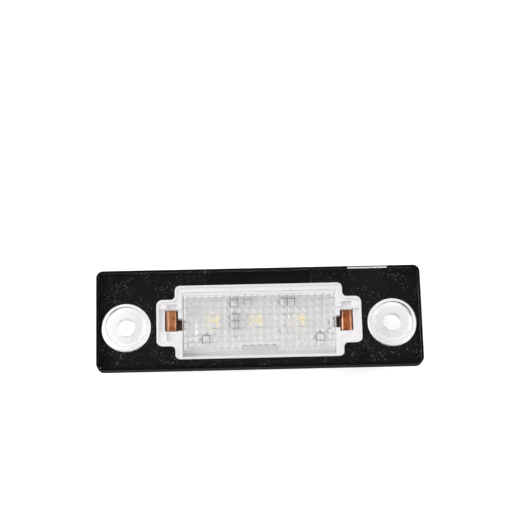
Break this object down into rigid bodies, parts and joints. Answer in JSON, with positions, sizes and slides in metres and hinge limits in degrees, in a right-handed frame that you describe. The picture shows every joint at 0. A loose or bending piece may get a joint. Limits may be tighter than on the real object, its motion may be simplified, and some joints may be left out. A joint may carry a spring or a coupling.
{
  "type": "number plate lamp",
  "caption": "Slim vehicle number plate lamp: clear front plate with screw cups and a prism window, black foam gasket, white box with circuit board and copper contact springs.",
  "frame": {"origin": "midway between the two screw holes, on the seating plane at the back of the gasket and of the screw cups", "axes": "+X along the lamp's length, +Y across it towards the wider border above the window, +Z out of the light window along the screws"},
  "size_m": [0.094, 0.0292, 0.0155],
  "materials": {
    "lens_clear": "clear moulded polycarbonate, polished",
    "gasket_black": "matt moulded foam rubber",
    "housing_white": "smooth white moulded plastic",
    "board_white": "white solder mask",
    "lamp_body": "white moulded lamp body",
    "phosphor": "yellow silicone fill",
    "chip_black": "black chip body with bright end caps",
    "chip_brown": "brown ceramic with bright end caps",
    "copper": "rolled copper strip, lightly tarnished",
    "solder": "bright solder"
  },
  "bodies": {
    "root": {"lens": "lens_clear", "gasket_left_end": "gasket_black", "gasket_right_end": "gasket_black", "gasket_top_strip": "gasket_black", "gasket_bottom_strip": "gasket_black", "housing": "housing_white", "led_board": "board_white", "led_left": "lamp_body", "led_middle": "lamp_body", "led_right": "lamp_body", "phosphor_left": "phosphor", "phosphor_middle": "phosphor", "phosphor_right": "phosphor", "resistor_1": "chip_black", "resistor_2": "chip_black", "resistor_3": "chip_black", "resistor_4": "chip_black", "resistor_5": "chip_black", "protection_diode": "chip_black", "capacitor": "chip_brown", "contact_left": "copper", "contact_right": "copper", "solder_joints": "solder"}
  },
  "joints": []
}
